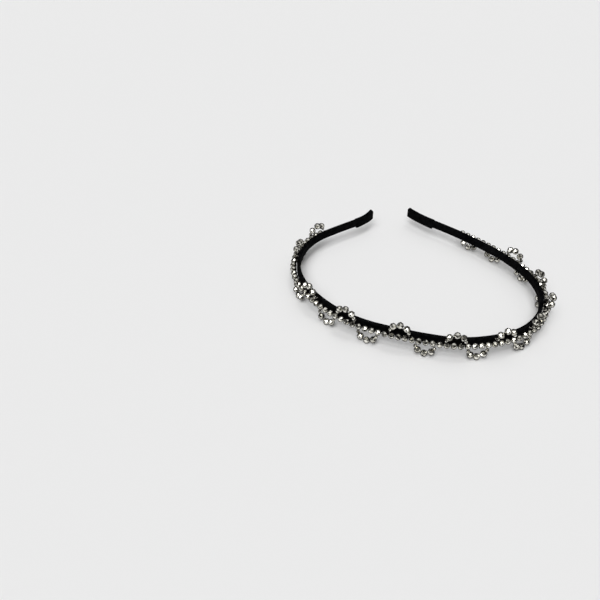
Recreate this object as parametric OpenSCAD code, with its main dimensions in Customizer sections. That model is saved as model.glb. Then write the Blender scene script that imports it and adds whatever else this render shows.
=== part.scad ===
// Crystal headband: a thin cloth-covered spring band, a row of cut beads along its
// outer face, and small loops of beads that stand up and hang down by turns.
// It lies as on a table: the curve of the band is level, z is up, the top of the
// head is towards -Y and the two ends are towards +Y. It rests on its lower loops.

/* [Band] */
// Width of the covered band, which is its height as it lies
band_w = 5.7; // [5.2:0.1:6]
// Thickness of the covered band
band_t = 2.3; // [2.2:0.1:2.6]
// Rounding of the long edges of the band
band_edge = 0.6; // [0.3:0.1:0.8]

/* [End sleeves] */
// How far a sleeve stands out past both faces of the band
sleeve_proud = 0.4; // [0.3:0.05:0.5]
// How far a sleeve hangs past the lower edge of the band
sleeve_drop = 0.9; // [0.7:0.05:1.1]
// Thickness of the folded cloth
sleeve_wall = 1; // [0.8:0.05:1.05]
// Gap between a sleeve and the end of the band
sleeve_gap = 0.1; // [0.05:0.05:0.15]

/* [Bead row] */
// Diameter of a bead of the row
row_bead = 4.35; // [3.9:0.05:4.35]
// Distance from bead to bead along the row
row_pitch = 4.14; // [4.1:0.01:4.16]
// Number of beads in the row
row_count = 84; // [80:1:84]
// Bare length of band before the first bead, measured along the row
row_start = 43.1; // [43:0.1:43.6]
// How far the row lies below the middle of the band
row_drop = 0.55; // [0.3:0.05:0.7]
// Gap between the beads of the row and the band, which the sewing leaves
row_gap = 0.3; // [0.1:0.05:0.4]

/* [Bead loops] */
// Diameter of the three large beads of a loop
loop_bead = 4.55; // [4.2:0.05:4.55]
// Diameter of the two small beads at the foot of a loop
foot_bead = 2.4; // [2.1:0.1:2.5]
// Radius of the circle that the beads of a loop lie on
loop_r = 5.4; // [5.3:0.05:5.6]
// Distance from the row to the last bead of a hanging loop
hang_reach = 9.1; // [8.8:0.1:9.6]

/* [Thread] */
// Diameter of the thread
thread_d = 0.4; // [0.3:0.05:0.4]
// Diameter of the hole in a bead
bore_d = 0.8; // [0.7:0.05:0.8]

/* [Hidden] */

// The inner face of the band from the left end round to the right end. A sleeve
// covers the first arc and another the last.
// Columns: radius, which is negative where the band flares outwards, and angle
ARCS = [
    [-41, 24],
    [410, 3.5],
    [41.5, 84],
    [78, 42.5],
    [270, 7.5],
    [77, 35],
    [40, 96],
    [104, 16.5],
    [270, 9.7],
    [-83, 15.5]
];
LAST = len(ARCS) - 1;
// Left end of the inner face, and the direction in which the band leaves it
START = [-9.93, 69.94];
START_HEADING = -136.5;

// The loops along the row.
// Columns: number of the row bead that it stands over, 1 for up or -1 for hanging,
// distance from the row to its last bead, and lean away from the band in degrees
UP = 1;
HANG = -1;
LOOPS = [
    [1, UP, 8.7, -8],
    [5.4, HANG, hang_reach, 0],
    [6.8, UP, 8.7, -8],
    [15, HANG, hang_reach, 0],
    [18.2, UP, 8.9, 0],
    [22.3, HANG, hang_reach, 0],
    [25.8, UP, 10.3, 4],
    [29.4, HANG, hang_reach, 0],
    [34.1, UP, 9.6, 0],
    [38, HANG, hang_reach, 0],
    [42.2, UP, 8.7, 0],
    [45.6, HANG, hang_reach, 0],
    [49.6, UP, 8.8, 0],
    [52.9, HANG, hang_reach, 0],
    [55.8, UP, 8.9, 0],
    [58.8, HANG, hang_reach, -14],
    [60.7, UP, 9.1, 12],
    [63.8, HANG, hang_reach, -15],
    [66.2, UP, 8.7, -8],
    [70.6, HANG, hang_reach, 0],
    [72.7, UP, 8.7, -8],
    [76.8, HANG, hang_reach, 0],
    [81.5, HANG, hang_reach, 0]
];
// The beads of a loop, by their angle from its top. The large ones lie on its
// circle, and the small ones follow them along the thread.
// Columns: angle, and 1 for a large bead or 0 for a small one
LOOP_BEADS = [[-84, 0], [-50, 1], [0, 1], [50, 1], [84, 0]];

// A bead has flat facets in four rings, two on each side of its waist
bead_sides = 8;
row_len = row_bead * 0.885;
loop_len = loop_bead * 0.92;
foot_len = foot_bead * 0.78;
// Distance of the shoulders from the waist and their width, as shares of the diameter
shoulder_at = 0.3;
shoulder_width = 0.78;
// Gap between a small bead and the large one that it follows
foot_gap = 0.38;

// Clearance between beads, thread and cloth
clear = 0.1;
// Arcs stop this short of the joints between them, and a core a little thinner
// than they are runs through each joint
seam = 0.01;
core_inset = 0.02;
core_len = 1;
row_out = band_t + row_gap + row_bead / 2;
row_z = hang_reach + loop_bead / 2;
band_z = row_z + row_drop - band_w / 2;
curve_fn = 180;
thread_fn = 6;
// The knots of the row's thread, and how deep the thread starts in them
knot_d = 0.7;
knot_in = 0.2;
// Where the thread of a loop turns in towards the band, from the row
thread_turn = row_bead / 2 + 0.45;

function bend(k) = sign(ARCS[k][0]) * ARCS[k][1];
function heading(k) = k == 0 ? START_HEADING : heading(k - 1) + bend(k - 1);
function arc_len(k, out) = abs(ARCS[k][0] + out) * ARCS[k][1] * PI / 180;
function before(k, out) = k == 0 ? 0 : before(k - 1, out) + arc_len(k - 1, out);
function step(r, h, a) = r * [sin(h + a) - sin(h), cos(h) - cos(h + a)];
function knot(k) = k == 0 ? START : knot(k - 1) + step(ARCS[k - 1][0], heading(k - 1), bend(k - 1));
function arc_at(u, out, k = 0) =
    k == LAST || u <= before(k + 1, out) ? k : arc_at(u, out, k + 1);
// Heading of the band at a length u along the line that lies out from its inner face
function heading_at(u, out) =
    let(k = arc_at(u, out)) heading(k) + bend(k) * (u - before(k, out)) / arc_len(k, out);
// The point on that line
function point_at(u, out) =
    let(k = arc_at(u, out), h = heading_at(u, out))
    knot(k) + step(ARCS[k][0], heading(k), h - heading(k)) + out * [sin(h), -cos(h)];

HEADINGS = [for (k = [0:LAST]) heading(k)];
KNOTS = [for (k = [0:LAST]) knot(k)];

// Moves its children to a length u along the line, with +X along the band, -Y
// away from the head and +Z up
module on_line(u, out, z) {
    p = point_at(u, out);
    translate([p[0], p[1], z])
        rotate([0, 0, heading_at(u, out)])
            children();
}

// Sweeps a section, drawn with x away from the head and y up, round arc k. The ends
// are set back by two lengths of the inner face, or run past where they are negative
module arc(k, back0, back1) {
    r = ARCS[k][0];
    from = HEADINGS[k] + bend(k) * back0 / arc_len(k, 0);
    turn = bend(k) * (1 - (back0 + back1) / arc_len(k, 0));
    centre = KNOTS[k] + r * [-sin(HEADINGS[k]), cos(HEADINGS[k])];
    translate([centre[0], centre[1], 0])
        if (r > 0)
            rotate([0, 0, from - 90])
                rotate_extrude(angle = turn, $fn = curve_fn)
                    translate([r, 0]) children();
        else
            rotate([0, 0, from + turn + 90])
                rotate_extrude(angle = -turn, $fn = curve_fn)
                    translate([-r, 0]) mirror([1, 0]) children();
}

// A short straight piece of a section through the joint in front of arc k
module core(k) {
    translate([KNOTS[k][0], KNOTS[k][1], 0])
        rotate([0, 0, HEADINGS[k] - 90])
            rotate([90, 0, 0])
                linear_extrude(height = core_len, center = true)
                    children();
}

// A rectangle with round corners between two corner points
module section(low, high, edge) {
    translate([low[0] + edge, low[1]])
        square([high[0] - low[0] - 2 * edge, high[1] - low[1]]);
    translate([low[0], low[1] + edge])
        square([high[0] - low[0], high[1] - low[1] - 2 * edge]);
    for (x = [low[0] + edge, high[0] - edge])
        for (y = [low[1] + edge, high[1] - edge])
            translate([x, y]) circle(r = edge, $fn = 24);
}

// Corners of a sleeve's section, of the hollow in it and of the band's end in that
sleeve_low = [-sleeve_proud, band_z - sleeve_drop];
sleeve_high = [band_t + sleeve_proud, band_z + band_w + clear / 2];
hollow_low = sleeve_low + [sleeve_wall, sleeve_wall];
hollow_high = sleeve_high - [sleeve_wall, sleeve_wall];
tongue_low = hollow_low + [sleeve_gap, sleeve_gap];
tongue_high = hollow_high - [sleeve_gap, sleeve_gap];
inset = [core_inset, core_inset];

module between(low, high) {
    translate(low) square(high - low);
}

module band() {
    high = [band_t, band_z + band_w];
    color([0.05, 0.05, 0.055])
        union() {
            for (k = [1:LAST - 1])
                arc(k, seam, seam) section([0, band_z], high, band_edge);
            for (k = [2:LAST - 1])
                core(k) section([0, band_z] + inset, high - inset, band_edge);
            // The thinner ends that the sleeves cover
            arc(0, sleeve_wall + sleeve_gap, seam) between(tongue_low, tongue_high);
            arc(LAST, seam, sleeve_wall + sleeve_gap) between(tongue_low, tongue_high);
            for (k = [1, LAST])
                core(k) between(tongue_low + inset, tongue_high - inset);
        }
}

module left_end_sleeve() {
    color([0.03, 0.03, 0.035])
        difference() {
            arc(0, 0, sleeve_gap) section(sleeve_low, sleeve_high, band_edge);
            arc(0, sleeve_wall, -core_len) between(hollow_low, hollow_high);
        }
}

module right_end_sleeve() {
    color([0.03, 0.03, 0.035])
        difference() {
            arc(LAST, sleeve_gap, 0) section(sleeve_low, sleeve_high, band_edge);
            arc(LAST, -core_len, sleeve_wall) between(hollow_low, hollow_high);
        }
}

// A cut bead, drilled along X
module bead(d, length) {
    n = bead_sides;
    // Columns: radius, place along the hole, and turn in facets
    rings = [
        [bore_d / 2, -length / 2, 0],
        [d / 2 * shoulder_width, -shoulder_at * d, 0.5],
        [d / 2, 0, 0],
        [d / 2 * shoulder_width, shoulder_at * d, 0.5],
        [bore_d / 2, length / 2, 0]
    ];
    last = len(rings) - 1;
    points = [
        for (ring = rings)
            for (i = [0:n - 1])
                let(a = 360 * (i + ring[2]) / n)
                [ring[1], ring[0] * cos(a), ring[0] * sin(a)]
    ];
    outer = [
        for (j = [0:last - 1])
            for (i = [0:n - 1])
                let(a = j * n + i, b = j * n + (i + 1) % n)
                each rings[j][2] == 0
                    ? [[a, a + n, b], [b, a + n, b + n]]
                    : [[a, a + n, b + n], [a, b + n, b]]
    ];
    bore = [
        for (i = [0:n - 1])
            let(a = last * n + i, b = last * n + (i + 1) % n)
            each [[a, i, (i + 1) % n], [a, (i + 1) % n, b]]
    ];
    polyhedron(points, concat(outer, bore), convexity = 4);
}

module row_beads() {
    color([0.78, 0.77, 0.73])
        for (i = [0:row_count - 1])
            on_line(row_start + i * row_pitch, row_out, row_z)
                bead(row_bead, row_len);
}

// Moves its children into the plane of a loop, with +X along the band
module on_loop(loop) {
    on_line(row_start + loop[0] * row_pitch, row_out, row_z)
        rotate([loop[1] * loop[3], 0, 0])
            children();
}

// Direction of a loop's thread at an angle from its top
function along(angle) = [cos(angle), -sin(angle)];
// Where the thread of a loop bends between the last large bead and the small one
FOOT_BEND = let(angle = LOOP_BEADS[3][0])
    loop_r * [sin(angle), cos(angle)] + (loop_len + foot_gap) / 2 * along(angle);
FOOT = FOOT_BEND + (foot_len + foot_gap) / 2 * along(LOOP_BEADS[4][0]);
// Middle of a loop's bead, from the middle of its circle
function bead_at(b) =
    b[1] == 1 ? loop_r * [sin(b[0]), cos(b[0])] : [sign(b[0]) * FOOT[0], FOOT[1]];

module loop_beads() {
    color([0.78, 0.77, 0.73])
        for (loop = LOOPS)
            on_loop(loop)
                for (b = LOOP_BEADS)
                    translate([bead_at(b)[0], 0, loop[1] * (loop[2] - loop_r + bead_at(b)[1])])
                        rotate([0, loop[1] * b[0], 0])
                            if (b[1] == 1) bead(loop_bead, loop_len);
                            else bead(foot_bead, foot_len);
}

// A straight piece of thread from p to q
module strand(p, q) {
    v = q - p;
    translate(p)
        rotate([0, acos(v[2] / norm(v)), atan2(v[1], v[0])])
            translate([0, 0, -thread_d / 8])
                cylinder(d = thread_d, h = norm(v) + thread_d / 4, $fn = thread_fn);
}

// Runs through the row, with a knot at both ends where it turns in to the cloth
module row_thread() {
    u0 = row_start - row_pitch * 0.6;
    u1 = row_start + (row_count - 0.4) * row_pitch;
    first = arc_at(u0, row_out);
    last = arc_at(u1, row_out);
    color([0.6, 0.6, 0.58])
        union() {
            for (k = [first:last]) {
                inner = arc_len(k, 0) / arc_len(k, row_out);
                arc(k,
                    k == first ? (u0 + knot_in - before(k, row_out)) * inner : seam,
                    k == last ? (before(k + 1, row_out) - u1 + knot_in) * inner : seam)
                    translate([row_out, row_z]) circle(d = thread_d, $fn = 24);
            }
            for (k = [first + 1:last])
                core(k)
                    translate([row_out, row_z]) circle(d = thread_d - 2 * core_inset, $fn = 24);
            for (u = [u0, u1])
                on_line(u, row_out, row_z)
                    rotate([-90, 0, 0]) {
                        cylinder(d = knot_d, h = knot_d, center = true, $fn = 24);
                        translate([0, 0, knot_in])
                            cylinder(d = thread_d, h = row_out - band_t - clear - knot_in, $fn = 24);
                    }
        }
}

// The corners of a loop's thread, in the plane of the loop, from the foot on one
// side of it to its top
function half_corners(loop) =
    let(
        up = [0, loop[2] - loop_r],
        way = along(LOOP_BEADS[4][0]),
        half = LOOP_BEADS[3][0] / 2,
        r = loop_r / cos(half)
    )
    [
        FOOT + up + way * (thread_turn - FOOT[1] - up[1]) / way[1],
        FOOT_BEND + up,
        r * [sin(half), cos(half)] + up
    ];
function corners(loop) =
    let(half = half_corners(loop))
    [each half, for (i = [2:-1:0]) [-half[i][0], half[i][1]]];

module loop_threads() {
    color([0.6, 0.6, 0.58])
        for (loop = LOOPS) {
            s = loop[1];
            lean = loop[3];
            pts = [for (p = corners(loop)) [p[0], -p[1] * sin(lean), s * p[1] * cos(lean)]];
            // An upright loop is sewn to the outer face, a hanging one under the lower edge
            inwards = s == UP
                ? [row_out - band_t - clear, pts[0][2]]
                : [row_out - band_t / 2, band_z - row_z - clear - thread_d / 2];
            on_line(row_start + loop[0] * row_pitch, row_out, row_z) {
                for (i = [0:len(pts) - 2]) strand(pts[i], pts[i + 1]);
                for (p = [pts[0], pts[len(pts) - 1]])
                    strand(p, [p[0], inwards[0], inwards[1]]);
            }
        }
}

band();
left_end_sleeve();
right_end_sleeve();
row_beads();
row_thread();
loop_beads();
loop_threads();
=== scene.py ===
"""Crystal headband: cloth, cut beads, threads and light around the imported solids."""

import logging
import math
from collections.abc import Mapping, Sequence
from dataclasses import dataclass, field
from enum import Enum
from typing import Any

import bpy
from mathutils import Euler, Matrix, Vector, noise


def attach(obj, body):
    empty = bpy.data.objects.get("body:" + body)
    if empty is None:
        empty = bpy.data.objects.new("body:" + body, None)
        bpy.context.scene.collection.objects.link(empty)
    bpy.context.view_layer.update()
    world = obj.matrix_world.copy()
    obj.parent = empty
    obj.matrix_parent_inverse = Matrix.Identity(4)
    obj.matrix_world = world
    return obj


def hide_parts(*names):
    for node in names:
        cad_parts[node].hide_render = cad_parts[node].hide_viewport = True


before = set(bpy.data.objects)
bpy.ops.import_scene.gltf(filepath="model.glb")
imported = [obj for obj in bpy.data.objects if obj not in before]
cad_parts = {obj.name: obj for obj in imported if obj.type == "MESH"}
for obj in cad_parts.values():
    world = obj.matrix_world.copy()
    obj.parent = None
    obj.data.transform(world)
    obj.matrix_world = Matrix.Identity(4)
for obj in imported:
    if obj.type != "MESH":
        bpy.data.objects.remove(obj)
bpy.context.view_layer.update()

LOG = logging.getLogger("headband")
MM = 0.001
BODY = "root"
TURN = 2.0 * math.pi

Point = tuple[float, float, float]
Colour = tuple[float, float, float]


# The line of the band


@dataclass(frozen=True)
class Arc:
    """One arc of the band's inner face, in millimetres and degrees.

    Its radius is negative where the band flares outwards.
    """

    radius: float
    angle: float

    @property
    def bend(self) -> float:
        """Signed turn of the heading over the whole arc, in degrees."""
        return math.copysign(self.angle, self.radius)

    def length(self, out: float) -> float:
        """Length of the line that lies out from the inner face, in millimetres."""
        return abs(self.radius + out) * math.radians(self.angle)


@dataclass(frozen=True)
class Station:
    """A place on the band's line: a point in millimetres and a heading in radians."""

    x: float
    y: float
    heading: float

    def place(self, out: float, z: float) -> Point:
        """The point in metres that lies out from this station at a height, both in millimetres."""
        c, s = math.cos(self.heading), math.sin(self.heading)
        return ((self.x + out * s) * MM, (self.y - out * c) * MM, z * MM)


@dataclass(frozen=True)
class BandLine:
    """The inner face of the band, from the left end round to the right end."""

    start: tuple[float, float] = (-9.93, 69.94)
    start_heading: float = -136.5
    arcs: tuple[Arc, ...] = (
        Arc(-41, 24),
        Arc(410, 3.5),
        Arc(41.5, 84),
        Arc(78, 42.5),
        Arc(270, 7.5),
        Arc(77, 35),
        Arc(40, 96),
        Arc(104, 16.5),
        Arc(270, 9.7),
        Arc(-83, 15.5),
    )

    def length(self, out: float = 0.0) -> float:
        """Whole length of the line that lies out from the inner face."""
        return sum(arc.length(out) for arc in self.arcs)

    def at(self, length: float, out: float = 0.0) -> Station:
        """Finds the station at a length along the line that lies out from the inner face.

        Args:
            length: Distance along that line from the left end, in millimetres.
            out: How far the line lies away from the head, in millimetres.

        Returns:
            The station on that line.
        """
        x, y = self.start
        heading = math.radians(self.start_heading)
        for number, arc in enumerate(self.arcs):
            whole = arc.length(out)
            ends_here = length <= whole or number == len(self.arcs) - 1
            share = length / whole if ends_here else 1.0
            turned = heading + math.radians(arc.bend) * share
            x += arc.radius * (math.sin(turned) - math.sin(heading))
            y += arc.radius * (math.cos(heading) - math.cos(turned))
            heading = turned
            if ends_here:
                break
            length -= whole
        return Station(x + out * math.sin(heading), y - out * math.cos(heading), heading)


@dataclass(frozen=True)
class Fit:
    """Sizes that the pieces share, in millimetres, as the solids have them."""

    band_w: float = 5.7
    band_t: float = 2.3
    row_bead: float = 4.35
    loop_bead: float = 4.55
    foot_bead: float = 2.4
    row_drop: float = 0.55
    row_gap: float = 0.3
    hang_reach: float = 9.1

    @property
    def row_out(self) -> float:
        """How far the row of beads lies out from the inner face."""
        return self.band_t + self.row_gap + self.row_bead / 2

    @property
    def row_z(self) -> float:
        """Height of the row above the floor."""
        return self.hang_reach + self.loop_bead / 2

    @property
    def band_z(self) -> float:
        """Height of the band's lower edge above the floor."""
        return self.row_z + self.row_drop - self.band_w / 2

    @property
    def middle_z(self) -> float:
        """Height of the middle of the band above the floor."""
        return self.band_z + self.band_w / 2


# Nodes


class Value:
    """A number socket whose arithmetic adds Math nodes to its graph."""

    def __init__(self, graph: "Graph", socket: bpy.types.NodeSocket) -> None:
        """Wraps one output socket of the graph."""
        self.graph = graph
        self.socket = socket

    def _math(self, operation: str, first: Any, second: Any) -> "Value":
        """Adds one Math node and wraps its result."""
        node = self.graph.add("ShaderNodeMath", {"operation": operation}, {0: first, 1: second})
        return Value(self.graph, node.outputs[0])

    def __add__(self, other: Any) -> "Value":
        """Sum."""
        return self._math("ADD", self, other)

    __radd__ = __add__

    def __mul__(self, other: Any) -> "Value":
        """Product."""
        return self._math("MULTIPLY", self, other)

    __rmul__ = __mul__

    def __sub__(self, other: Any) -> "Value":
        """Difference."""
        return self._math("SUBTRACT", self, other)

    def __rsub__(self, other: Any) -> "Value":
        """Difference from a number."""
        return self._math("SUBTRACT", other, self)

    def __truediv__(self, other: Any) -> "Value":
        """Quotient."""
        return self._math("DIVIDE", self, other)

    def __rtruediv__(self, other: Any) -> "Value":
        """Quotient of a number and the value."""
        return self._math("DIVIDE", other, self)

    def sine(self) -> "Value":
        """Sine of the value in radians."""
        return self._math("SINE", self, 0.0)

    def floor(self) -> "Value":
        """Whole number below."""
        return self._math("FLOOR", self, 0.0)

    def over(self, limit: Any) -> "Value":
        """One where the value is over the limit, and zero elsewhere."""
        return self._math("GREATER_THAN", self, limit)

    def most(self, other: Any) -> "Value":
        """The larger of the two."""
        return self._math("MAXIMUM", self, other)

    def least(self, other: Any) -> "Value":
        """The smaller of the two."""
        return self._math("MINIMUM", self, other)


class Graph:
    """Adds nodes to a tree and links them."""

    def __init__(self, tree: bpy.types.NodeTree) -> None:
        """Works on one node tree."""
        self.tree = tree

    def add(
        self,
        kind: str,
        settings: Mapping[str, Any] | None = None,
        sockets: Mapping[int | str, Any] | None = None,
    ) -> bpy.types.Node:
        """Adds one node.

        Args:
            kind: The node's type.
            settings: Its properties, set first. "stops" are a ramp's (place, colour) pairs.
            sockets: Its inputs, each with a plain value, a Value or an output to link.

        Returns:
            The node.
        """
        node = self.tree.nodes.new(kind)
        for name, setting in (settings or {}).items():
            if name == "stops":
                self._set_stops(node.color_ramp, setting)
            else:
                setattr(node, name, setting)
        for key, fed in (sockets or {}).items():
            self.feed(node.inputs[key], fed)
        return node

    @staticmethod
    def _set_stops(ramp: bpy.types.ColorRamp, stops: Sequence[tuple[float, Colour]]) -> None:
        """Gives a ramp its stops.

        Args:
            ramp: The ramp of a new node.
            stops: A place from 0 to 1 and a colour for each stop, in order.
        """
        while len(ramp.elements) < len(stops):
            ramp.elements.new(0.5)
        for element, (place, colour) in zip(ramp.elements, stops):
            element.position = place
            element.color = (*colour, 1.0)

    def feed(self, socket: bpy.types.NodeSocket, fed: Any) -> None:
        """Links an input, or sets its value.

        Args:
            socket: The input.
            fed: A Value, an output to link, or a plain value.
        """
        if isinstance(fed, Value):
            fed = fed.socket
        if isinstance(fed, bpy.types.NodeSocket):
            self.tree.links.new(fed, socket)
        else:
            socket.default_value = fed

    def value(self, node: bpy.types.Node, output: int | str = 0) -> Value:
        """Wraps an output of a node."""
        return Value(self, node.outputs[output])

    def attribute(self, name: str) -> Value:
        """Reads a number that the mesh carries, in a material."""
        return self.value(self.add("ShaderNodeAttribute", {"attribute_name": name}), "Fac")

    def carried(self, name: str, kind: str) -> bpy.types.NodeSocket:
        """Reads an attribute that the points carry, in a recipe."""
        return self.add("GeometryNodeInputNamedAttribute", {"data_type": kind}, {"Name": name}).outputs[0]

    def vector(self, operation: str, sockets: Mapping[int | str, Any]) -> bpy.types.NodeSocket:
        """Adds one Vector Math node and returns its result."""
        return self.add("ShaderNodeVectorMath", {"operation": operation}, sockets).outputs[0]

    def ramp(self, tone: Value, *stops: tuple[float, Colour]) -> bpy.types.NodeSocket:
        """Turns a number into a colour between stops."""
        return self.add("ShaderNodeValToRGB", {"stops": stops}, {0: tone}).outputs[0]

    def noise(self, place: bpy.types.NodeSocket, scale: float, detail: float = 2.0) -> Value:
        """Adds a noise texture that is read at a place, with so many lumps for each metre."""
        sockets = {"Vector": place, "Scale": scale, "Detail": detail, "Roughness": 0.55}
        return self.value(self.add("ShaderNodeTexNoise", {}, sockets))

    def bump(self, strength: float, depth: float, height: Value) -> bpy.types.NodeSocket:
        """Bends the normal by a share of a height, whose full depth is in millimetres."""
        sockets = {"Strength": strength, "Distance": depth * MM, "Height": height}
        return self.add("ShaderNodeBump", {}, sockets).outputs[0]

    def principled(self, sockets: Mapping[str, Any]) -> bpy.types.NodeSocket:
        """Adds one Principled shader and returns its result."""
        return self.add("ShaderNodeBsdfPrincipled", {}, sockets).outputs[0]

    def surface(self, shader: bpy.types.NodeSocket) -> None:
        """Ends a material with its shader."""
        self.add("ShaderNodeOutputMaterial", {}, {"Surface": shader})


class Recipe:
    """A Geometry Nodes tree with named inputs, which turns a carrier into a plain mesh."""

    def __init__(self, name: str, inputs: Mapping[str, str]) -> None:
        """Makes the tree.

        Args:
            name: The tree's name.
            inputs: The names of its inputs, with their socket types.
        """
        self.tree = bpy.data.node_groups.new(name, "GeometryNodeTree")
        face = self.tree.interface
        face.new_socket("Geometry", in_out="INPUT", socket_type="NodeSocketGeometry")
        face.new_socket("Geometry", in_out="OUTPUT", socket_type="NodeSocketGeometry")
        made = {
            key: face.new_socket(key, in_out="INPUT", socket_type=kind)
            for key, kind in {**inputs, "Material": "NodeSocketMaterial"}.items()
        }
        self.identifiers = {key: socket.identifier for key, socket in made.items()}
        self.graph = Graph(self.tree)
        self.source = self.graph.add("NodeGroupInput")

    def given(self, name: str) -> bpy.types.NodeSocket:
        """The socket of a named input, inside the tree."""
        return self.source.outputs[name]

    def number(self, name: str) -> Value:
        """A named input as a value."""
        return Value(self.graph, self.given(name))

    def store(
        self, geometry: Any, name: str, value: Any, domain: str = "POINT", kind: str = "FLOAT"
    ) -> bpy.types.NodeSocket:
        """Stores a number or a vector on the geometry.

        Args:
            geometry: The geometry's socket.
            name: The attribute's name.
            value: What it holds.
            domain: Where it is held.
            kind: Its data type.

        Returns:
            The geometry with the attribute.
        """
        node = self.graph.add(
            "GeometryNodeStoreNamedAttribute",
            {"data_type": kind, "domain": domain},
            {"Geometry": geometry, "Name": name, "Value": value},
        )
        return node.outputs[0]

    def shift(self, geometry: Any, offset: bpy.types.NodeSocket) -> bpy.types.NodeSocket:
        """Moves every point of the geometry by an offset."""
        moved = self.graph.add("GeometryNodeSetPosition", {}, {"Geometry": geometry, "Offset": offset})
        return moved.outputs[0]

    def close(self, geometry: bpy.types.NodeSocket) -> None:
        """Ends the tree: real geometry with its material.

        Args:
            geometry: The geometry's socket.
        """
        real = self.graph.add("GeometryNodeRealizeInstances", {}, {0: geometry})
        dressed = self.graph.add(
            "GeometryNodeSetMaterial", {}, {"Geometry": real.outputs[0], "Material": self.given("Material")}
        )
        self.graph.add("NodeGroupOutput", {}, {0: dressed.outputs[0]})

    def make(self, carrier: bpy.types.Object, values: Mapping[str, Any]) -> None:
        """Runs the tree on a carrier and keeps the result as its plain mesh.

        Args:
            carrier: The object that holds the points or the path.
            values: A value for each named input.
        """
        modifier = carrier.modifiers.new(self.tree.name, "NODES")
        modifier.node_group = self.tree
        for key, value in values.items():
            modifier[self.identifiers[key]] = value
        graph = bpy.context.evaluated_depsgraph_get()
        mesh = bpy.data.meshes.new_from_object(
            carrier.evaluated_get(graph), preserve_all_data_layers=True, depsgraph=graph
        )
        carrier.modifiers.clear()
        carrier.data = mesh


def mesh_object(
    name: str,
    points: Sequence[Point],
    edges: Sequence[tuple[int, int]] = (),
    faces: Sequence[Sequence[int]] = (),
) -> bpy.types.Object:
    """Makes a mesh object at the origin.

    Args:
        name: The object's name.
        points: Its vertices, in metres.
        edges: Its loose edges.
        faces: Its faces.

    Returns:
        The object, linked to the scene.
    """
    mesh = bpy.data.meshes.new(name)
    mesh.from_pydata(points, edges, faces)
    made = bpy.data.objects.new(name, mesh)
    bpy.context.scene.collection.objects.link(made)
    return made


def store(piece: bpy.types.Object, name: str, kind: str, values: Sequence[Any]) -> None:
    """Stores one value for each vertex of a piece.

    Args:
        piece: The mesh object.
        name: The attribute's name.
        kind: Its data type.
        values: The values in order.
    """
    layer = piece.data.attributes.new(name, kind, "POINT")
    slot = "vector" if kind == "FLOAT_VECTOR" else "value"
    for item, value in zip(layer.data, values):
        setattr(item, slot, value)


# Finishes


def new_material(name: str) -> tuple[bpy.types.Material, Graph]:
    """Starts a node material.

    Args:
        name: The material's name.

    Returns:
        The material and its empty graph.
    """
    material = bpy.data.materials.new(name)
    material.use_nodes = True
    material.node_tree.nodes.clear()
    return material, Graph(material.node_tree)


@dataclass(frozen=True)
class RibbonFinish:
    """Black woven ribbon: fine slanting ribs, lint and a faint sheen.

    Lengths are in millimetres, and the scales of lint and patches count them in a metre.
    """

    name: str
    deep: Colour = (0.0002, 0.0002, 0.0003)
    worn: Colour = (0.006, 0.0062, 0.0068)
    deep_until: float = 0.38
    worn_from: float = 0.68
    rib: float = 0.28
    slant: float = 0.8
    threads_in_rib: float = 1.6
    thread_slant: float = 0.35
    rib_share: float = 0.6
    lint_scale: float = 420.0
    patch_scale: float = 60.0
    weave_tone: float = 0.16
    lint_tone: float = 0.7
    patch_tone: float = 0.3
    roughness: float = 0.72
    lint_roughness: float = 0.15
    rib_strength: float = 0.25
    rib_depth: float = 0.06
    lint_height: float = 0.8

    def build(self) -> bpy.types.Material:
        """Makes the material.

        Returns:
            A material that reads the lengths along and around the cloth.
        """
        material, graph = new_material(self.name)
        along, around = graph.attribute("along"), graph.attribute("around")
        step = TURN / (self.rib * MM)
        rib = ((along + around * self.slant) * step).sine()
        thread = ((around - along * self.thread_slant) * (step * self.threads_in_rib)).sine()
        weave = rib * self.rib_share + thread * (1.0 - self.rib_share)
        place = graph.add("ShaderNodeTexCoord").outputs["Object"]
        lint = graph.noise(place, self.lint_scale, detail=3.0)
        patch = graph.noise(place, self.patch_scale)
        tone = weave * self.weave_tone + lint * self.lint_tone + patch * self.patch_tone
        sockets = {
            "Base Color": graph.ramp(tone, (self.deep_until, self.deep), (self.worn_from, self.worn)),
            "Roughness": lint * self.lint_roughness + self.roughness,
            "Normal": graph.bump(self.rib_strength, self.rib_depth, weave + lint * self.lint_height),
            "Sheen Weight": 0.002,
            "Sheen Roughness": 0.4,
            "Specular IOR Level": 0.015,
        }
        graph.surface(graph.principled(sockets))
        return material


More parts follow.
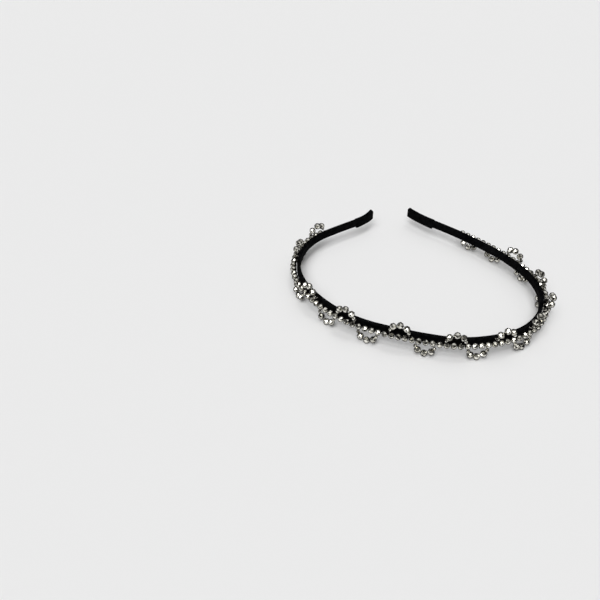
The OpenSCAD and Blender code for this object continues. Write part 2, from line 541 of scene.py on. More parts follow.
@dataclass(frozen=True)
class CrystalFinish:
    """Cut glass with a silver coating. Some facets look into dark glass; the rim is painted shade.

    The clouds in the coating are counted in a metre.
    """

    name: str
    bright: Colour = (0.98, 0.96, 0.88)
    warm: Colour = (0.5, 0.485, 0.42)
    dark: Colour = (0.006, 0.0055, 0.005)
    facet_share: float = 0.8
    warm_until: float = 0.3
    bright_from: float = 0.55
    dark_share: float = 0.22
    dark_gain: float = 12.0
    painted_rim_from: float = 0.25
    painted_rim_gain: float = 3.0
    cloud_scale: float = 900.0
    cloud_roughness: float = 0.10
    roughness: float = 0.04

    def build(self) -> bpy.types.Material:
        """Makes the material.

        Returns:
            A material that reads a tone for each facet, and the middle of each bead for the painted dark
            rim.
        """
        material, graph = new_material(self.name)
        facet, bead = graph.attribute("facet"), graph.attribute("bead")
        tone = facet * self.facet_share + bead * (1.0 - self.facet_share)
        place = graph.add("ShaderNodeTexCoord").outputs["Object"]
        stops = ((0.0, self.warm), (self.warm_until, self.warm), (self.bright_from, self.bright))
        cloud = graph.noise(place, self.cloud_scale)
        sockets = {
            "Base Color": graph.ramp(tone, *stops),
            "Metallic": 1.0,
            "Roughness": cloud * self.cloud_roughness + self.roughness,
            "Coat Weight": 0.4,
            "Coat Roughness": 0.03,
        }
        silver = graph.principled(sockets)
        sockets = {"Base Color": (*self.dark, 1.0), "Roughness": 0.15, "Specular IOR Level": 0.06}
        glass = graph.principled(sockets)
        dark = (self.dark_share - tone) * self.dark_gain
        # Painted shade: the dark shader is mixed in towards each bead's rim, standing in for shade and dark
        # reflections at the bead's edge
        dark_facets_and_painted_rim = self._painted_dark_rim(graph, place).most(dark).most(0.0).least(1.0)
        cut = graph.add("ShaderNodeMixShader", {}, {0: dark_facets_and_painted_rim, 1: silver, 2: glass})
        graph.surface(cut.outputs[0])
        return material

    def _painted_dark_rim(self, graph: Graph, place: bpy.types.NodeSocket) -> Value:
        """Finds how far a place on a bead lies towards its rim, as on a ball, for the painted dark rim.

        Args:
            graph: The material's graph.
            place: The place, in Object coordinates.

        Returns:
            A number that passes from below 0 to over 1 towards the rim.
        """
        middle = graph.add("ShaderNodeAttribute", {"attribute_name": "middle"}).outputs["Vector"]
        ball = graph.vector("NORMALIZE", {0: graph.vector("SUBTRACT", {0: place, 1: middle})})
        edge = graph.add("ShaderNodeLayerWeight", {}, {"Blend": 0.5, "Normal": ball})
        return (graph.value(edge, "Facing") - self.painted_rim_from) * self.painted_rim_gain


@dataclass(frozen=True)
class ThreadFinish:
    """Thin nylon thread whose fibres are counted in a metre, with their depth in millimetres."""

    name: str
    colour: Colour = (0.42, 0.40, 0.36)
    shade: Colour = (0.20, 0.19, 0.17)
    shade_until: float = 0.3
    colour_from: float = 0.7
    fibre_scale: float = 2600.0
    fibre_depth: float = 0.03
    fibre_strength: float = 0.3
    fibre_roughness: float = 0.3
    roughness: float = 0.3

    def build(self) -> bpy.types.Material:
        """Makes the material.

        Returns:
            A material on Object coordinates.
        """
        material, graph = new_material(self.name)
        fibre = graph.noise(graph.add("ShaderNodeTexCoord").outputs["Object"], self.fibre_scale)
        sockets = {
            "Base Color": graph.ramp(fibre, (self.shade_until, self.shade), (self.colour_from, self.colour)),
            "Roughness": fibre * self.fibre_roughness + self.roughness,
            "Normal": graph.bump(self.fibre_strength, self.fibre_depth, fibre),
        }
        graph.surface(graph.principled(sockets))
        return material


class Slot(Enum):
    """The record's material slots."""

    RIBBON = "ribbon"
    SLEEVE = "sleeve_cloth"
    CRYSTAL = "crystal"
    THREAD = "thread"


@dataclass
class Finishes:
    """The finished materials, one for each slot."""

    made: dict[Slot, bpy.types.Material] = field(default_factory=dict)

    def build(self) -> None:
        """Makes every material."""
        self.made = {
            Slot.RIBBON: RibbonFinish("black_ribbon").build(),
            Slot.SLEEVE: RibbonFinish(
                "black_sleeve_cloth", worn=(0.0052, 0.0054, 0.006), rib=0.34, slant=-0.6
            ).build(),
            Slot.CRYSTAL: CrystalFinish("silver_crystal").build(),
            Slot.THREAD: ThreadFinish("nylon_thread").build(),
        }

    def __getitem__(self, slot: Slot) -> bpy.types.Material:
        """The material of a slot."""
        return self.made[slot]


def hand_over(piece: bpy.types.Object, slot: Slot, *nodes: str) -> None:
    """Ties a finished piece to the frame.

    Args:
        piece: The finished piece.
        slot: The record's slot that its finish stands for; not used.
        *nodes: The solids that it stands for.
    """
    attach(piece, BODY)
    if nodes:
        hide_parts(*nodes)
    LOG.info("%s: %d faces", piece.name, len(piece.data.polygons))


# The cloth


@dataclass
class CoveredBand:
    """The spring band in its ribbon, swept round the band's line.

    The ribbon's lap starts at a share of the width, on the inner face, which lies beyond a
    share of the thickness. The lumps of the cloth are counted in a metre.
    """

    line: BandLine
    fit: Fit
    edge: float = 0.6
    corner_points: int = 5
    section_step: float = 0.35
    path_step: float = 0.8
    end_gap: float = 1.2
    lap: float = 0.1
    lap_from: float = 0.08
    inner_from: float = 0.45
    wobble: float = 0.14
    lump_scale: float = 160.0

    def _profile(self, recipe: Recipe) -> bpy.types.NodeSocket:
        """Draws the rounded section, with the ribbon's lap on its inner face.

        Args:
            recipe: The tree that the section is drawn in.

        Returns:
            The section's curve, which carries its length around.
        """
        graph = recipe.graph
        outline = graph.add(
            "GeometryNodeCurvePrimitiveQuadrilateral",
            {},
            {"Width": recipe.given("Thickness"), "Height": recipe.given("Width")},
        )
        rounded = graph.add(
            "GeometryNodeFilletCurve",
            {"mode": "POLY"},
            {"Curve": outline.outputs[0], "Count": self.corner_points, "Radius": recipe.given("Edge")},
        )
        section = graph.add(
            "GeometryNodeResampleCurve",
            {"mode": "LENGTH"},
            {"Curve": rounded.outputs[0], "Length": recipe.given("Section Step")},
        )
        spot = graph.add("ShaderNodeSeparateXYZ", {}, {0: graph.add("GeometryNodeInputPosition").outputs[0]})
        x, y = graph.value(spot, "X"), graph.value(spot, "Y")
        inner = (x * -1.0).over(recipe.number("Thickness") * self.inner_from)
        lapped = inner * y.over(recipe.number("Width") * self.lap_from) * recipe.number("Lap")
        step = graph.add("ShaderNodeCombineXYZ", {}, {"X": lapped * -1.0})
        seamed = recipe.shift(section.outputs[0], step.outputs[0])
        return recipe.store(seamed, "around", graph.add("GeometryNodeSplineParameter").outputs["Length"])

    def _recipe(self) -> Recipe:
        """Makes the tree that sweeps the section along a path of edges.

        Returns:
            The recipe.
        """
        sizes = ("Width", "Thickness", "Edge", "Section Step", "Lap", "Wobble")
        recipe = Recipe("ribbon over the band", {key: "NodeSocketFloat" for key in sizes})
        graph = recipe.graph
        path = graph.add("GeometryNodeMeshToCurve", {}, {0: recipe.given("Geometry")})
        level = graph.add("GeometryNodeSetCurveNormal", {"mode": "Z_UP"}, {0: path.outputs[0]})
        along = graph.add("GeometryNodeSplineParameter").outputs["Length"]
        rail = recipe.store(level.outputs[0], "along", along)
        swept = graph.add(
            "GeometryNodeCurveToMesh",
            {},
            {"Curve": rail, "Profile Curve": self._profile(recipe), "Fill Caps": True},
        )
        lumps = graph.add("ShaderNodeTexNoise", {}, {"Scale": self.lump_scale, "Detail": 2.0})
        centred = graph.vector("SUBTRACT", {0: lumps.outputs["Color"], 1: (0.5, 0.5, 0.5)})
        pushed = graph.vector("SCALE", {0: centred, "Scale": recipe.number("Wobble")})
        uneven = recipe.shift(swept.outputs[0], pushed)
        recipe.close(graph.add("GeometryNodeSetShadeSmooth", {}, {"Geometry": uneven}).outputs[0])
        return recipe

    def build(self) -> bpy.types.Object:
        """Lays the path of the band's middle.

        Returns:
            The path, a chain of edges.
        """
        low, high = self.end_gap, self.line.length() - self.end_gap
        count = round((high - low) / self.path_step)
        stations = [self.line.at(low + (high - low) * i / count) for i in range(count + 1)]
        points = [station.place(self.fit.band_t / 2, self.fit.middle_z) for station in stations]
        return mesh_object("ribbon_band", points, [(i, i + 1) for i in range(count)])

    def dress(self, piece: bpy.types.Object, finishes: Finishes) -> None:
        """Covers the path with ribbon and ties it to the frame.

        Args:
            piece: The path.
            finishes: The materials.
        """
        values = {
            "Width": self.fit.band_w * MM,
            "Thickness": self.fit.band_t * MM,
            "Edge": self.edge * MM,
            "Section Step": self.section_step * MM,
            "Lap": self.lap * MM,
            "Wobble": self.wobble * MM,
            "Material": finishes[Slot.RIBBON],
        }
        self._recipe().make(piece, values)
        hand_over(piece, Slot.RIBBON, "band")


@dataclass(frozen=True)
class SleeveFold:
    """One section of a sleeve, at a distance from its closed tip, in millimetres."""

    back: float
    thickness: float
    top: float
    drop: float
    edge: float


@dataclass(frozen=True)
class Crease:
    """A wave of creases in cloth: its waves for each metre and its depth in millimetres."""

    scale: float
    depth: float

    def at(self, spot: Vector) -> float:
        """How far the cloth stands out at a spot, in millimetres."""
        return noise.noise(spot * self.scale) * self.depth


@dataclass
class EndSleeve:
    """The folded cloth over one end of the band, closed at the tip.

    The flap is the outer layer of the cloth, which stands up a little at the tip. The widest
    edge is a share of half the thickness.
    """

    name: str
    node: str
    line: BandLine
    fit: Fit
    arc: int
    flap: float
    flap_length: float = 6.0
    flap_depth: float = 1.2
    flap_edge: float = 0.5
    gap: float = 0.1
    wall: float = 0.35
    lip: float = 0.15
    tuck: float = 2.0
    corner_points: int = 6
    widest_edge: float = 0.95
    ring_step: float = 0.6
    tip_rings: tuple[float, ...] = (0.0, 0.12, 0.25, 0.5, 0.8, 1.3, 1.9, 2.5)
    creases: tuple[Crease, ...] = (Crease(260.0, 0.1), Crease(900.0, 0.03))
    crease_from: float = 2.0
    folds: tuple[SleeveFold, ...] = (
        SleeveFold(0.0, 2.2, -0.05, 0.6, 0.3),
        SleeveFold(0.25, 2.75, 0.03, 0.8, 0.45),
        SleeveFold(0.8, 2.95, 0.05, 0.85, 0.55),
        SleeveFold(2.5, 3.05, 0.05, 0.9, 0.6),
        SleeveFold(6.0, 3.1, 0.05, 0.95, 0.55),
        SleeveFold(11.0, 3.05, 0.0, 0.9, 0.55),
        SleeveFold(15.0, 3.1, 0.05, 0.95, 0.45),
    )

    def _fold_at(self, back: float) -> SleeveFold:
        """Blends the table's sections.

        Args:
            back: Distance from the tip, in millimetres.

        Returns:
            The section there.
        """
        for near, far in zip(self.folds, self.folds[1:]):
            if back <= far.back:
                share = (back - near.back) / (far.back - near.back)
                mixed = [
                    getattr(near, key) * (1 - share) + getattr(far, key) * share
                    for key in ("thickness", "top", "drop", "edge")
                ]
                return SleeveFold(back, *mixed)
        return self.folds[-1]

    def _section(self, fold: SleeveFold, inset: float) -> list[tuple[float, float]]:
        """Corners of a rounded section, as (out, height) pairs round it.

        Args:
            fold: The sizes at that section.
            inset: How far the section lies inside the cloth's outer face.

        Returns:
            The points in order.
        """
        half = fold.thickness / 2 - inset
        middle = self.fit.band_t / 2
        low = self.fit.band_z - fold.drop + inset
        high = self.fit.band_z + self.fit.band_w + fold.top - inset
        edge = min(fold.edge, half * self.widest_edge)
        corners = (
            (middle + half - edge, low + edge, -0.25),
            (middle + half - edge, high - edge, 0.0),
            (middle - half + edge, high - edge, 0.25),
            (middle - half + edge, low + edge, 0.5),
        )
        points = []
        for out, height, start in corners:
            for i in range(self.corner_points):
                angle = TURN * (start + 0.25 * i / (self.corner_points - 1))
                points.append((out + edge * math.cos(angle), height + edge * math.sin(angle)))
        return points

    def _ring(self, back: float, inset: float) -> list[Point]:
        """Points of one ring of the sleeve.

        Args:
            back: Distance from the tip, in millimetres.
            inset: How far the ring lies inside the cloth's outer face, in millimetres.

        Returns:
            The points in metres.
        """
        station = self.line.at(back if self.arc == 0 else self.line.length() - back)
        middle, top = self.fit.band_t / 2, self.fit.band_z + self.fit.band_w
        standing = self.flap * max(0.0, 1.0 - back / self.flap_length)
        ring = []
        for out, height in self._section(self._fold_at(back), inset):
            if height > top - self.flap_depth and out > middle - self.flap_edge:
                height += standing * min(1.0, out - middle + self.flap_edge)
            spot = Vector(station.place(out, height))
            crease = sum(wave.at(spot) for wave in self.creases)
            side = 1.0 if out > middle else -1.0
            grown = out + side * crease * min(1.0, back / self.crease_from)
            ring.append(station.place(grown, height))
        return ring

    def build(self) -> bpy.types.Object:
        """Lofts the outer face from the tip to the mouth and turns it in at the mouth.

        Returns:
            The sleeve, which carries the lengths along and around the cloth.
        """
        mouth = self.line.arcs[self.arc].length(0.0) - self.gap
        tip = self.tip_rings[-1]
        count = round((mouth - tip) / self.ring_step)
        backs = list(self.tip_rings) + [tip + (mouth - tip) * i / count for i in range(1, count + 1)]
        run = [(back, 0.0) for back in backs]
        run += [(mouth, self.wall * 0.5), (mouth - self.lip, self.wall), (mouth - self.tuck, self.wall)]
        rings = [self._ring(back, inset) for back, inset in run]
        n = len(rings[0])
        faces = [
            (k * n + i, k * n + (i + 1) % n, (k + 1) * n + (i + 1) % n, (k + 1) * n + i)
            for k in range(len(rings) - 1)
            for i in range(n)
        ]
        faces.append(tuple(range(n - 1, -1, -1)))
        if self.arc == 0:
            faces = [tuple(reversed(face)) for face in faces]
        piece = mesh_object(self.name, [point for ring in rings for point in ring], (), faces)
        store(piece, "along", "FLOAT", [back * MM for back, _ in run for _ in range(n)])
        around = []
        for ring in rings:
            total = 0.0
            for i, point in enumerate(ring):
                around.append(total)
                total += (Vector(ring[(i + 1) % n]) - Vector(point)).length
        store(piece, "around", "FLOAT", around)
        piece.data.polygons.foreach_set("use_smooth", [True] * len(faces))
        return piece

    def dress(self, piece: bpy.types.Object, finishes: Finishes) -> None:
        """Gives the sleeve its cloth and ties it to the frame."""
        piece.data.materials.append(finishes[Slot.SLEEVE])
        hand_over(piece, Slot.SLEEVE, self.node)


# The beads


@dataclass(frozen=True)
class CutBead:
    """A drilled bead with flat facets, whose hole runs along X, in millimetres."""

    diameter: float
    length: float
    bore: float = 0.8
    sides: int = 8
    shoulder: float = 0.78
    shoulder_at: float = 0.3

    def build(self, name: str) -> bpy.types.Object:
        """Makes the bead as an object of its own, for the recipe to repeat.

        Args:
            name: The object's name.

        Returns:
            The bead, a closed ring of triangles round its hole.
        """
        radius, half = self.diameter / 2, self.length / 2
        rings = (
            (self.bore / 2, -half, 0.0),
            (radius * self.shoulder, -self.shoulder_at * self.diameter, 0.5),
            (radius, 0.0, 0.0),
            (radius * self.shoulder, self.shoulder_at * self.diameter, 0.5),
            (self.bore / 2, half, 0.0),
        )
        n = self.sides
        points = [
            (x * MM, r * math.cos(TURN * (i + turn) / n) * MM, r * math.sin(TURN * (i + turn) / n) * MM)
            for r, x, turn in rings
            for i in range(n)
        ]
        faces: list[tuple[int, ...]] = []
        last = len(rings) - 1
        for k in range(last):
            for i in range(n):
                a, b = k * n + i, k * n + (i + 1) % n
                c, d = a + n, b + n
                faces += [(a, b, d), (a, d, c)] if rings[k][2] else [(a, b, c), (b, d, c)]
        for i in range(n):
            a, b = last * n + i, last * n + (i + 1) % n
            faces += [(a, b, i), (b, (i + 1) % n, i)]
        return mesh_object(name, points, (), [tuple(reversed(face)) for face in faces])


class Side(Enum):
    """Which way a loop of beads points."""

    UP = 1
    HANG = -1


@dataclass(frozen=True)
class Loop:
    """One loop: its row bead, its side, its reach in millimetres and its lean in degrees."""

    bead: float
    side: Side
    reach: float = 9.1
    lean: float = 0.0


@dataclass(frozen=True)
class BeadSpot:
    """Where a bead sits: its middle in metres, its turn, and whether it is a small one."""

    place: Point
    turn: Euler
    small: bool = False


@dataclass(frozen=True)
class Cuts:
    """How the beads of a string are cut, how far they tilt in degrees, and their seed."""

    large: CutBead
    small: CutBead
    tilt: float
    seed: int


class ThreadedBeads:
    """The recipe that sets cut beads on spots, each rolled on its thread."""

    def __init__(self) -> None:
        """Makes the tree."""
        kinds = {
            "Bead": "NodeSocketObject",
            "Small Bead": "NodeSocketObject",
            "Tilt": "NodeSocketFloat",
            "Facets": "NodeSocketInt",
            "Seed": "NodeSocketInt",
        }
        self.recipe = Recipe("beads on a thread", kinds)
        graph = self.recipe.graph
        small = Value(graph, graph.carried("small", "FLOAT"))
        facing = graph.add("FunctionNodeEulerToRotation", {}, {0: graph.carried("turn", "FLOAT_VECTOR")})
        # Every corner of a bead keeps the place of the bead's middle, which the material reads for its
        # painted dark rim
        middle = graph.add("GeometryNodeInputPosition").outputs[0]
        spots = self.recipe.store(self.recipe.given("Geometry"), "middle", middle, kind="FLOAT_VECTOR")
        joined = graph.add("GeometryNodeJoinGeometry")
        for key, picked in (("Bead", 1.0 - small), ("Small Bead", small)):
            shape = graph.add("GeometryNodeObjectInfo", {}, {"Object": self.recipe.given(key)})
            strung = graph.add(
                "GeometryNodeInstanceOnPoints",
                {},
                {
                    "Points": spots,
                    "Selection": picked.over(0.5),
                    "Instance": shape.outputs["Geometry"],
                    "Rotation": facing.outputs[0],
                },
            )
            graph.feed(joined.inputs[0], strung.outputs[0])
        rolled = graph.add(
            "GeometryNodeRotateInstances",
            {},
            {"Instances": joined.outputs[0], "Rotation": self._roll(graph), "Local Space": True},
        )
        real = graph.add("GeometryNodeRealizeInstances", {}, {0: rolled.outputs[0]})
        index = graph.value(graph.add("GeometryNodeInputIndex"))
        number = (index / self.recipe.number("Facets")).floor()
        marked = self.recipe.store(real.outputs[0], "facet", self._random(graph, index, shift=0), "FACE")
        marked = self.recipe.store(marked, "bead", self._random(graph, number, shift=7), "FACE")
        self.recipe.close(marked)

    def _random(self, graph: Graph, number: Value, shift: int) -> Value:
        """Draws a number from 0 to 1 for each whole number, with the recipe's seed and a shift."""
        sockets = {"ID": number, "Seed": self.recipe.number("Seed") + float(shift)}
        return graph.value(graph.add("FunctionNodeRandomValue", {"data_type": "FLOAT"}, sockets), 1)

    def _roll(self, graph: Graph) -> bpy.types.NodeSocket:
        """Draws a free roll about the hole with a little tilt, for each bead.

        Args:
            graph: The recipe's graph.

        Returns:
            The rotation.
        """
        tilt = self.recipe.number("Tilt")
        most = graph.add("ShaderNodeCombineXYZ", {}, {"X": TURN / 2, "Y": tilt, "Z": tilt}).outputs[0]
        least = graph.vector("SCALE", {0: most, "Scale": -1.0})
        angles = graph.add(
            "FunctionNodeRandomValue",
            {"data_type": "FLOAT_VECTOR"},
            {0: least, 1: most, "Seed": self.recipe.given("Seed")},
        )
        return graph.add("FunctionNodeEulerToRotation", {}, {0: angles.outputs[0]}).outputs[0]

    def string(
        self, name: str, spots: Sequence[BeadSpot], cuts: Cuts, finish: bpy.types.Material
    ) -> bpy.types.Object:
        """Strings beads on their spots.

        Args:
            name: The piece's name.
            spots: Where the beads sit.
            cuts: How the beads are cut and how they lie.
            finish: The beads' material.

        Returns:
            The piece, a plain mesh.
        """
        piece = mesh_object(name, [spot.place for spot in spots])
        store(piece, "turn", "FLOAT_VECTOR", [tuple(spot.turn) for spot in spots])
        store(piece, "small", "FLOAT", [float(spot.small) for spot in spots])
        large, small = cuts.large.build(name + "_cut"), cuts.small.build(name + "_small_cut")
        values = {
            "Bead": large,
            "Small Bead": small,
            "Tilt": math.radians(cuts.tilt),
            "Facets": len(large.data.polygons),
            "Seed": cuts.seed,
            "Material": finish,
        }
        self.recipe.make(piece, values)
        for shape in (large, small):
            bpy.data.objects.remove(shape)
        return piece


@dataclass
class BeadRow:
    """The row of cut beads along the outer face of the band, in millimetres and degrees."""

    line: BandLine
    fit: Fit
    start: float = 43.1
    pitch: float = 4.14
    count: int = 84
    bead_share: float = 0.885
    tilt: float = 2.5
    seed: int = 11

    def station(self, number: float) -> Station:
        """The station of a bead of the row, or of a place between two."""
        return self.line.at(self.start + number * self.pitch, self.fit.row_out)

    def build(self, beads: ThreadedBeads, finishes: Finishes) -> bpy.types.Object:
        """Strings the row.

        Args:
            beads: The recipe for beads.
            finishes: The materials.

        Returns:
            The row, a plain mesh.
        """
        stations = [self.station(number) for number in range(self.count)]
        spots = [
            BeadSpot(station.place(0.0, self.fit.row_z), Euler((0.0, 0.0, station.heading)))
            for station in stations
        ]
        cut = CutBead(self.fit.row_bead, self.fit.row_bead * self.bead_share)
        return beads.string(
            "crystal_row", spots, Cuts(cut, cut, self.tilt, self.seed), finishes[Slot.CRYSTAL]
        )

    def dress(self, piece: bpy.types.Object) -> None:
        """Ties the row to the frame."""
        hand_over(piece, Slot.CRYSTAL, "row_beads")


@dataclass
class BeadLoops:
    """The small loops of beads that stand up and hang down by turns, in millimetres and degrees."""

    row: BeadRow
    radius: float = 5.4
    large_angle: float = 50.0
    small_angle: float = 84.0
    foot_gap: float = 0.38
    large_share: float = 0.92
    small_share: float = 0.78
    tilt: float = 3.0
    seed: int = 23
    loops: tuple[Loop, ...] = (
        Loop(1, Side.UP, 8.7, -8),
        Loop(5.4, Side.HANG),
        Loop(6.8, Side.UP, 8.7, -8),
        Loop(15, Side.HANG),
        Loop(18.2, Side.UP, 8.9),
        Loop(22.3, Side.HANG),
        Loop(25.8, Side.UP, 10.3, 4),
        Loop(29.4, Side.HANG),
        Loop(34.1, Side.UP, 9.6),
        Loop(38, Side.HANG),
        Loop(42.2, Side.UP, 8.7),
        Loop(45.6, Side.HANG),
        Loop(49.6, Side.UP, 8.8),
        Loop(52.9, Side.HANG),
        Loop(55.8, Side.UP, 8.9),
        Loop(58.8, Side.HANG, lean=-14),
        Loop(60.7, Side.UP, 9.1, 12),
        Loop(63.8, Side.HANG, lean=-15),
        Loop(66.2, Side.UP, 8.7, -8),
        Loop(70.6, Side.HANG),
        Loop(72.7, Side.UP, 8.7, -8),
        Loop(76.8, Side.HANG),
        Loop(81.5, Side.HANG),
    )

    def _cuts(self) -> Cuts:
        """Sets out the cuts of the large and the small beads.

        Returns:
            The cuts, with the loops' tilt and seed.
        """
        fit = self.row.fit
        large = CutBead(fit.loop_bead, fit.loop_bead * self.large_share)
        small = CutBead(fit.foot_bead, fit.foot_bead * self.small_share)
        return Cuts(large, small, self.tilt, self.seed)

    def _outline(self, cuts: Cuts) -> list[tuple[float, float, float, bool]]:
        """Sets out the beads of one loop from the middle of its circle.

        Args:
            cuts: The cuts of the beads.

        Returns:
            Each bead's offset along the row, its height, its angle and whether it is small.
        """
        a, b = math.radians(self.large_angle), math.radians(self.small_angle)
        reach = (cuts.large.length + self.foot_gap) / 2
        foot_reach = (cuts.small.length + self.foot_gap) / 2
        side = (self.radius * math.sin(a), self.radius * math.cos(a))
        foot = (
            side[0] + reach * math.cos(a) + foot_reach * math.cos(b),
            side[1] - reach * math.sin(a) - foot_reach * math.sin(b),
        )
        beads = [(0.0, self.radius, 0.0, False)]
        for way in (-1.0, 1.0):
            beads.append((way * side[0], side[1], way * a, False))
            beads.append((way * foot[0], foot[1], way * b, True))
        return beads

    def _spots(self, loop: Loop, cuts: Cuts) -> list[BeadSpot]:
        """Finds where the beads of one loop sit.

        Args:
            loop: The loop.
            cuts: The cuts of its beads.

        Returns:
            A spot for each bead.
        """
        station = self.row.station(loop.bead)
        way = float(loop.side.value)
        lean = Matrix.Rotation(way * math.radians(loop.lean), 4, "X")
        base = Matrix.Translation(Vector(station.place(0.0, self.row.fit.row_z)))
        base = base @ Matrix.Rotation(station.heading, 4, "Z") @ lean
        spots = []
        for along, height, angle, small in self._outline(cuts):
            lift = way * (loop.reach - self.radius + height)
            at = base @ Matrix.Translation(Vector((along * MM, 0.0, lift * MM)))
            at = at @ Matrix.Rotation(way * angle, 4, "Y")
            spots.append(BeadSpot(tuple(at.translation), at.to_euler(), small))
        return spots

    def build(self, beads: ThreadedBeads, finishes: Finishes) -> bpy.types.Object:
        """Strings every loop.

        Args:
            beads: The recipe for beads.
            finishes: The materials.

        Returns:
            The loops, a plain mesh.
        """
        cuts = self._cuts()
        spots = [spot for loop in self.loops for spot in self._spots(loop, cuts)]
        return beads.string("crystal_loops", spots, cuts, finishes[Slot.CRYSTAL])

    def dress(self, piece: bpy.types.Object) -> None:
        """Ties the loops to the frame."""
        hand_over(piece, Slot.CRYSTAL, "loop_beads")


# The threads


@dataclass
class Threads:
    """The threads of the row and of the loops, which keep their solids."""

    nodes: tuple[str, ...] = ("row_thread", "loop_threads")

    def dress(self, finishes: Finishes) -> None:
        """Gives the solids their thread finish.

        Args:
            finishes: The materials.
        """
        for name in self.nodes:
            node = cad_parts[name]
            node.data.materials.clear()
            node.data.materials.append(finishes[Slot.THREAD])
            LOG.info("%s: dressed", name)


@dataclass
class RowStitches:
    """The black stitches that hold the row's thread to the cloth, in every other gap."""

    row: BeadRow
    every: int = 2
    thread: float = 0.18
    spread: float = 0.62
    round_thread: float = 0.32
    sides: int = 6
    bends: int = 7

    def _recipe(self) -> Recipe:
        """Makes the tree that draws a stitch at each point, turned with the band.

        Returns:
            The recipe.
        """
        sizes = ("Thread", "Spread", "Hold", "Reach")
        recipe = Recipe("stitches over the thread", {key: "NodeSocketFloat" for key in sizes})
        graph = recipe.graph
        number = recipe.number
        bow = graph.add(
            "GeometryNodeCurveArc",
            {"mode": "RADIUS"},
            {
                "Resolution": self.bends,
                "Radius": recipe.given("Hold"),
                "Start Angle": -TURN / 4,
                "Sweep Angle": TURN / 2,
            },
        )
        drawn = graph.add("GeometryNodeJoinGeometry")
        graph.feed(drawn.inputs[0], bow.outputs[0])
        for way in (-1.0, 1.0):
            near = graph.add("ShaderNodeCombineXYZ", {}, {"Y": number("Hold") * way})
            far = graph.add(
                "ShaderNodeCombineXYZ", {}, {"X": number("Reach") * -1.0, "Y": number("Spread") * way}
            )
            ends = {"Start": far.outputs[0], "End": near.outputs[0]}
            leg = graph.add("GeometryNodeCurvePrimitiveLine", {}, ends)
            graph.feed(drawn.inputs[0], leg.outputs[0])
        around = graph.add(
            "GeometryNodeCurvePrimitiveCircle",
            {"mode": "RADIUS"},
            {"Resolution": self.sides, "Radius": number("Thread") * 0.5},
        )
        tube = graph.add(
            "GeometryNodeCurveToMesh",
            {},
            {"Curve": drawn.outputs[0], "Profile Curve": around.outputs[0], "Fill Caps": True},
        )
        facing = graph.add("FunctionNodeEulerToRotation", {}, {0: graph.carried("turn", "FLOAT_VECTOR")})
        sewn = graph.add(
            "GeometryNodeInstanceOnPoints",
            {},
            {"Points": recipe.given("Geometry"), "Instance": tube.outputs[0], "Rotation": facing.outputs[0]},
        )
        recipe.close(sewn.outputs[0])
        return recipe

    def build(self) -> bpy.types.Object:
        """Marks the gaps of the row that hold a stitch.

        Returns:
            The points, which carry the turn of the band.
        """
        places, turns = [], []
        # X points away from the head and Y up
        upright = Matrix.Rotation(TURN / 4, 4, "X")
        for number in range(0, self.row.count - 1, self.every):
            station = self.row.station(number + 0.5)
            places.append(station.place(0.0, self.row.fit.row_z))
            out = Matrix.Rotation(station.heading - TURN / 4, 4, "Z") @ upright
            turns.append(tuple(out.to_euler()))
        piece = mesh_object("row_stitches", places)
        store(piece, "turn", "FLOAT_VECTOR", turns)
        return piece

    def dress(self, piece: bpy.types.Object, finishes: Finishes) -> None:
        """Sews the stitches, black as the cloth, and ties them to the frame.

        Args:
            piece: The points.
            finishes: The materials.
        """
        fit = self.row.fit
        values = {
            "Thread": self.thread * MM,
            "Spread": self.spread * MM,
            "Hold": self.round_thread * MM,
            "Reach": (fit.row_out - fit.band_t) * MM,
            "Material": finishes[Slot.RIBBON],
        }
        self._recipe().make(piece, values)
        hand_over(piece, Slot.RIBBON)


# The room


@dataclass(frozen=True)
class Viewpoint:
    """The photograph's viewpoint, in millimetres and degrees."""

    place: Point = (-135.69, -333.45, 311.1)
    down: float = 42.48
    turn: float = -10.06
    lens: float = 42.0
    sensor: float = 36.0

    def build(self) -> None:
        """Makes the camera and sets it as the scene's."""
        data = bpy.data.cameras.new("camera")
        data.lens = self.lens
        data.sensor_width = self.sensor
        data.sensor_fit = "HORIZONTAL"
        camera = bpy.data.objects.new("camera", data)
        camera.location = [value * MM for value in self.place]
        camera.rotation_euler = (math.radians(90.0 - self.down), 0.0, math.radians(self.turn))
        bpy.context.scene.collection.objects.link(camera)
        bpy.context.scene.camera = camera


@dataclass(frozen=True)
class Lamp:
    """A far lamp: its strength, its width and its tilt about X and Y, in degrees."""

    name: str
    strength: float
    width: float
    tilt: tuple[float, float]

    def build(self) -> None:
        """Hangs the lamp."""
        lamp = bpy.data.lights.new(self.name, "SUN")
        lamp.energy = self.strength
        lamp.angle = math.radians(self.width)
        holder = bpy.data.objects.new(self.name, lamp)
        holder.rotation_euler = (math.radians(self.tilt[0]), math.radians(self.tilt[1]), 0.0)
        bpy.context.scene.collection.objects.link(holder)


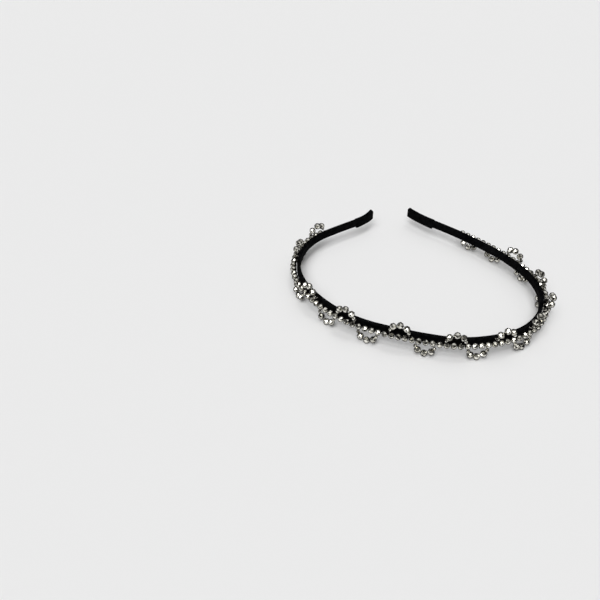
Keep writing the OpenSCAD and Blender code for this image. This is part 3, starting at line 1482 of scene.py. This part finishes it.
@dataclass(frozen=True)
class Studio:
    """A pale floor under soft lamps and a dim sky."""

    floor_size: float = 6.0
    floor_colour: Colour = (0.83, 0.83, 0.83)
    sky: Colour = (0.16, 0.16, 0.16)
    low_sky: Colour = (0.06, 0.06, 0.06)
    low_until: float = 0.15
    sky_from: float = 0.6
    lamps: tuple[Lamp, ...] = (
        Lamp("soft_key_light", 1.79, 42.0, (24.0, -18.0)),
        Lamp("key_core", 0.37, 14.0, (28.0, -20.0)),
        Lamp("wide_top_light", 0.51, 75.0, (-4.0, 10.0)),
        Lamp("top_core", 0.32, 14.0, (-2.0, 8.0)),
    )

    def build(self) -> None:
        """Makes the floor, the sky and the lamps."""
        self._floor()
        self._sky()
        for lamp in self.lamps:
            lamp.build()
        view = bpy.context.scene.view_settings
        view.view_transform = "Standard"
        view.look = "None"

    def _floor(self) -> None:
        """Makes the floor, a plain plane that the lowest beads lie on."""
        half = self.floor_size / 2
        corners = [(-half, -half, 0.0), (half, -half, 0.0), (half, half, 0.0), (-half, half, 0.0)]
        floor = mesh_object("floor", corners, (), [(0, 1, 2, 3)])
        material, graph = new_material("pale_floor")
        sockets = {"Base Color": (*self.floor_colour, 1.0), "Roughness": 0.9, "Specular IOR Level": 0.0}
        graph.surface(graph.principled(sockets))
        floor.data.materials.append(material)

    def _sky(self) -> None:
        """Makes a sky that is pale overhead and dimmer low down."""
        world = bpy.data.worlds.new("studio")
        world.use_nodes = True
        world.node_tree.nodes.clear()
        graph = Graph(world.node_tree)
        way = graph.add("ShaderNodeTexCoord").outputs["Generated"]
        height = graph.value(graph.add("ShaderNodeSeparateXYZ", {}, {0: way}), "Z")
        shade = graph.ramp(height, (self.low_until, self.low_sky), (self.sky_from, self.sky))
        glow = graph.add("ShaderNodeBackground", {}, {"Color": shade, "Strength": 1.0})
        graph.add("ShaderNodeOutputWorld", {}, {"Surface": glow.outputs[0]})
        bpy.context.scene.world = world


def main() -> None:
    """Builds the headband and its room, piece by piece."""
    logging.basicConfig(level=logging.INFO, format="%(name)s: %(message)s")
    line, fit = BandLine(), Fit()
    finishes = Finishes()
    finishes.build()
    Viewpoint().build()
    Studio().build()
    band = CoveredBand(line, fit)
    band.dress(band.build(), finishes)
    # Each side has its arc, and the height of its flap in millimetres
    ends = (("left", 0, 0.9), ("right", len(line.arcs) - 1, 0.2))
    for side, arc, flap in ends:
        sleeve = EndSleeve(f"{side}_folded_sleeve", f"{side}_end_sleeve", line, fit, arc, flap)
        sleeve.dress(sleeve.build(), finishes)
    beads = ThreadedBeads()
    row = BeadRow(line, fit)
    row.dress(row.build(beads, finishes))
    loops = BeadLoops(row)
    loops.dress(loops.build(beads, finishes))
    Threads().dress(finishes)
    stitches = RowStitches(row)
    stitches.dress(stitches.build(), finishes)


if __name__ == "__main__":
    main()
